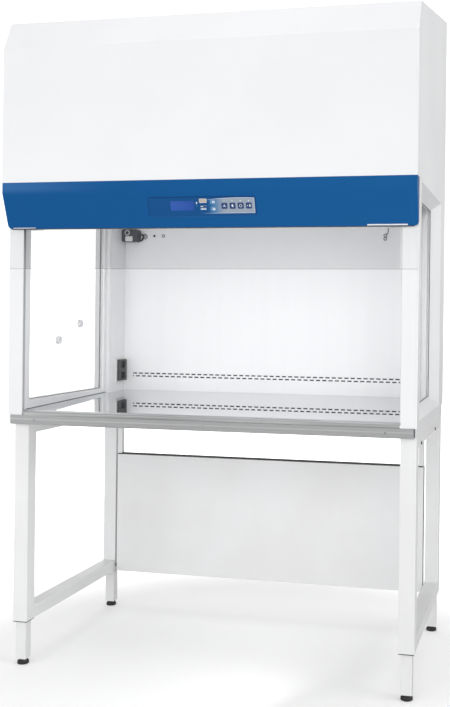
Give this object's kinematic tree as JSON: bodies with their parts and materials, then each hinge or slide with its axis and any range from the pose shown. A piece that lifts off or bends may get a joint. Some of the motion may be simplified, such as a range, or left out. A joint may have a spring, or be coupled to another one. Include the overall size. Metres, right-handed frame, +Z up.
{
  "type": "vertical laminar flow cabinet",
  "caption": "Bench-height vertical laminar flow cabinet with glazed sides, clear front sash, sloping hood, steel worktop and a telescopic stand on levelling feet.",
  "frame": {"origin": "on the floor, under the middle of the whole object's bounding box", "axes": "+Z up, the open front faces -Y, +X to the right as seen from the front"},
  "size_m": [1.34, 0.81, 2.262],
  "materials": {
    "white_paint": "satin powder coat",
    "inner_paint": "smooth satin powder coat",
    "blue_paint": "satin blue powder coat",
    "worktop_steel": "polished stainless steel",
    "galvanised": "bare zinc-coated sheet",
    "zinc_bolt": "zinc-plated",
    "clear_glass": "clear float glass",
    "clear_acrylic": "clear acrylic sheet",
    "black_rubber": "matt black rubber",
    "grey_rubber": "grey soft rubber",
    "film_blue": "printed film",
    "film_grey": "printed film",
    "display": "clear window over a backlit display",
    "led_lens": "clear lens",
    "circuit_board": "printed circuit board",
    "white_plastic": "moulded plastic",
    "black_plastic": "moulded plastic",
    "lamp_glass": "phosphor-coated tube",
    "filter_paper": "pleated glass-fibre paper",
    "pad_fibre": "coarse fibre pad",
    "aluminium": "plain extruded aluminium",
    "motor_paint": "black motor casing"
  },
  "bodies": {
    "cabinet": {"side_panel_left": "white_paint", "side_panel_right": "white_paint", "side_glasses": "clear_glass", "liner_seals": "grey_rubber", "service_plugs": "grey_rubber", "hood_side_left": "white_paint", "hood_side_right": "white_paint", "hood_front_cover": "white_paint", "hood_top_cover": "white_paint", "rear_skin": "white_paint", "fascia": "blue_paint", "fascia_brackets": "galvanised", "control_overlay": "film_blue", "display_window": "display", "status_leds": "led_lens", "control_board": "circuit_board", "front_sash": "clear_acrylic", "base_frame": "white_paint", "worktop": "worktop_steel", "front_trim": "worktop_steel", "worktop_screws": "zinc_bolt", "back_wall": "inner_paint", "filter_frame": "aluminium", "filter_media": "filter_paper", "diffuser_screen": "inner_paint", "blower_deck": "galvanised", "blower_housing": "galvanised", "blower_motor": "motor_paint", "prefilter_pad": "pad_fibre", "prefilter_grille": "white_paint", "lamp_holders": "white_plastic", "lamp_tube": "lamp_glass", "uv_socket": "black_plastic", "uv_lead": "black_rubber", "wall_fittings": "black_plastic", "outlet_plate": "white_plastic", "outlet_sockets": "black_plastic", "control_box": "galvanised", "power_inlet": "black_plastic", "side_frame_left": "white_paint", "side_frame_right": "white_paint", "leg_glides": "black_plastic", "rear_panel": "white_paint", "stand_bolts": "zinc_bolt"},
    "blower_wheel": {"impeller": "galvanised"},
    "fan_button": {"fan_key": "film_blue"},
    "lamp_button": {"lamp_key": "film_blue"},
    "uv_button": {"uv_key": "film_blue"},
    "outlet_button": {"outlet_key": "film_blue"},
    "up_button": {"up_key": "film_grey"},
    "down_button": {"down_key": "film_grey"},
    "menu_button": {"menu_key": "film_grey"},
    "leg_front_left": {"inner_leg_front_left": "white_paint"},
    "leg_front_right": {"inner_leg_front_right": "white_paint"},
    "leg_rear_left": {"inner_leg_rear_left": "white_paint"},
    "leg_rear_right": {"inner_leg_rear_right": "white_paint"},
    "foot_front_left": {"foot_front_left": "black_rubber"},
    "foot_front_right": {"foot_front_right": "black_rubber"},
    "foot_rear_left": {"foot_rear_left": "black_rubber"},
    "foot_rear_right": {"foot_rear_right": "black_rubber"}
  },
  "joints": [
    {"name": "blower_spin", "type": "hinge", "parent": "cabinet", "child": "blower_wheel", "pos_m": [0, 0.025, 1.869], "axis": [1, 0, 0], "continuous": true},
    {"name": "fan_key_press", "type": "slide", "parent": "cabinet", "child": "fan_button", "axis": [0, 0.9381, 0.3465], "range_m": [0, 0.0004], "stiffness_N_per_m": 2000, "springref_m": -0.0004},
    {"name": "lamp_key_press", "type": "slide", "parent": "cabinet", "child": "lamp_button", "axis": [0, 0.9381, 0.3465], "range_m": [0, 0.0004], "stiffness_N_per_m": 2000, "springref_m": -0.0004},
    {"name": "uv_key_press", "type": "slide", "parent": "cabinet", "child": "uv_button", "axis": [0, 0.9381, 0.3465], "range_m": [0, 0.0004], "stiffness_N_per_m": 2000, "springref_m": -0.0004},
    {"name": "outlet_key_press", "type": "slide", "parent": "cabinet", "child": "outlet_button", "axis": [0, 0.9381, 0.3465], "range_m": [0, 0.0004], "stiffness_N_per_m": 2000, "springref_m": -0.0004},
    {"name": "up_key_press", "type": "slide", "parent": "cabinet", "child": "up_button", "axis": [0, 0.9381, 0.3465], "range_m": [0, 0.0004], "stiffness_N_per_m": 2000, "springref_m": -0.0004},
    {"name": "down_key_press", "type": "slide", "parent": "cabinet", "child": "down_button", "axis": [0, 0.9381, 0.3465], "range_m": [0, 0.0004], "stiffness_N_per_m": 2000, "springref_m": -0.0004},
    {"name": "menu_key_press", "type": "slide", "parent": "cabinet", "child": "menu_button", "axis": [0, 0.9381, 0.3465], "range_m": [0, 0.0004], "stiffness_N_per_m": 2000, "springref_m": -0.0004},
    {"name": "leg_front_left_slide", "type": "slide", "parent": "cabinet", "child": "leg_front_left", "axis": [0, 0, 1], "range_m": [-0.09, 0.12]},
    {"name": "leg_front_right_slide", "type": "slide", "parent": "cabinet", "child": "leg_front_right", "axis": [0, 0, 1], "range_m": [-0.09, 0.12]},
    {"name": "leg_rear_left_slide", "type": "slide", "parent": "cabinet", "child": "leg_rear_left", "axis": [0, 0, 1], "range_m": [-0.09, 0.12]},
    {"name": "leg_rear_right_slide", "type": "slide", "parent": "cabinet", "child": "leg_rear_right", "axis": [0, 0, 1], "range_m": [-0.09, 0.12]},
    {"name": "foot_front_left_turn", "type": "hinge", "parent": "leg_front_left", "child": "foot_front_left", "pos_m": [-0.64, -0.294, 0.02], "axis": [0, 0, 1], "continuous": true},
    {"name": "foot_front_right_turn", "type": "hinge", "parent": "leg_front_right", "child": "foot_front_right", "pos_m": [0.64, -0.294, 0.02], "axis": [0, 0, 1], "continuous": true},
    {"name": "foot_rear_left_turn", "type": "hinge", "parent": "leg_rear_left", "child": "foot_rear_left", "pos_m": [-0.64, 0.38, 0.02], "axis": [0, 0, 1], "continuous": true},
    {"name": "foot_rear_right_turn", "type": "hinge", "parent": "leg_rear_right", "child": "foot_rear_right", "pos_m": [0.64, 0.38, 0.02], "axis": [0, 0, 1], "continuous": true}
  ]
}
